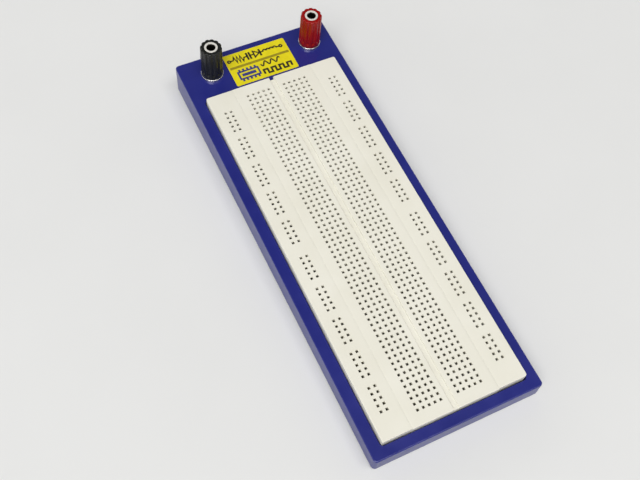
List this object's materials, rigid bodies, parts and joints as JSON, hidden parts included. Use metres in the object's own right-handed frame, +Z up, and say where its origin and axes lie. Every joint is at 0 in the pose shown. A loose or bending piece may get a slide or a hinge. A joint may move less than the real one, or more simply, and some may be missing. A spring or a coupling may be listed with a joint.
{
  "type": "solderless breadboard",
  "caption": "Solderless breadboard: tie-point strips and side bus strips set in a sloping moulded base, with screw-down binding posts behind them.",
  "frame": {"origin": "on the table under the middle of the base: centre of the object's box in X and Y, underside of the feet in Z", "axes": "+X across the board to the right, +Y along the board towards the binding posts, +Z up from the table; the top slopes up towards +Y by 1.67 degrees"},
  "size_m": [0.0746, 0.201, 0.0337],
  "materials": {
    "blue_plastic": "moulded deep blue, satin",
    "ivory_plastic": "moulded ivory, matte",
    "black_rubber": "matte black",
    "foam_tape": "closed-cell foam with adhesive on both faces",
    "contact_metal": "nickel-plated spring bronze",
    "nickel_plate": "bright nickel plate on turned brass",
    "yellow_film": "printed vinyl, satin",
    "black_plastic": "moulded black, semi-gloss",
    "red_plastic": "moulded red, semi-gloss"
  },
  "bodies": {
    "root": {"base_shell": "blue_plastic", "label": "yellow_film", "terminal_strip": "ivory_plastic", "bus_strip_left": "ivory_plastic", "bus_strip_right": "ivory_plastic", "terminal_tape": "foam_tape", "bus_tape_left": "foam_tape", "bus_tape_right": "foam_tape", "terminal_contacts_left": "contact_metal", "terminal_contacts_right": "contact_metal", "bus_rail_left_inner": "contact_metal", "bus_rail_left_outer": "contact_metal", "foot_front_left": "black_rubber", "foot_rear_left": "black_rubber", "bus_rail_right_inner": "contact_metal", "bus_rail_right_outer": "contact_metal", "foot_front_right": "black_rubber", "foot_rear_right": "black_rubber", "black_post_stud": "nickel_plate", "black_post_lock_washer": "nickel_plate", "black_post_nut": "nickel_plate", "red_post_stud": "nickel_plate", "red_post_lock_washer": "nickel_plate", "red_post_nut": "nickel_plate"},
    "black_collar": {"black_post_collar": "nickel_plate"},
    "black_cap": {"black_post_cap": "black_plastic"},
    "red_collar": {"red_post_collar": "nickel_plate"},
    "red_cap": {"red_post_cap": "red_plastic"}
  },
  "joints": [
    {"name": "black_cap_lift", "type": "slide", "parent": "root", "child": "black_collar", "axis": [0, -0.0292, 0.9996], "range_m": [0, 0.0048]},
    {"name": "black_cap_turn", "type": "hinge", "parent": "black_collar", "child": "black_cap", "pos_m": [-0.023, 0.09016, 0.01528], "axis": [0, -0.0292, 0.9996], "range_deg": [0, 2161]},
    {"name": "red_cap_lift", "type": "slide", "parent": "root", "child": "red_collar", "axis": [0, -0.0292, 0.9996], "range_m": [0, 0.0048]},
    {"name": "red_cap_turn", "type": "hinge", "parent": "red_collar", "child": "red_cap", "pos_m": [0.0261, 0.09016, 0.01528], "axis": [0, -0.0292, 0.9996], "range_deg": [0, 2161]}
  ],
  "couplings": [
    {"joint": "black_cap_turn", "follows": "black_cap_lift", "rad_per_m": 7854},
    {"joint": "red_cap_turn", "follows": "red_cap_lift", "rad_per_m": 7854}
  ]
}
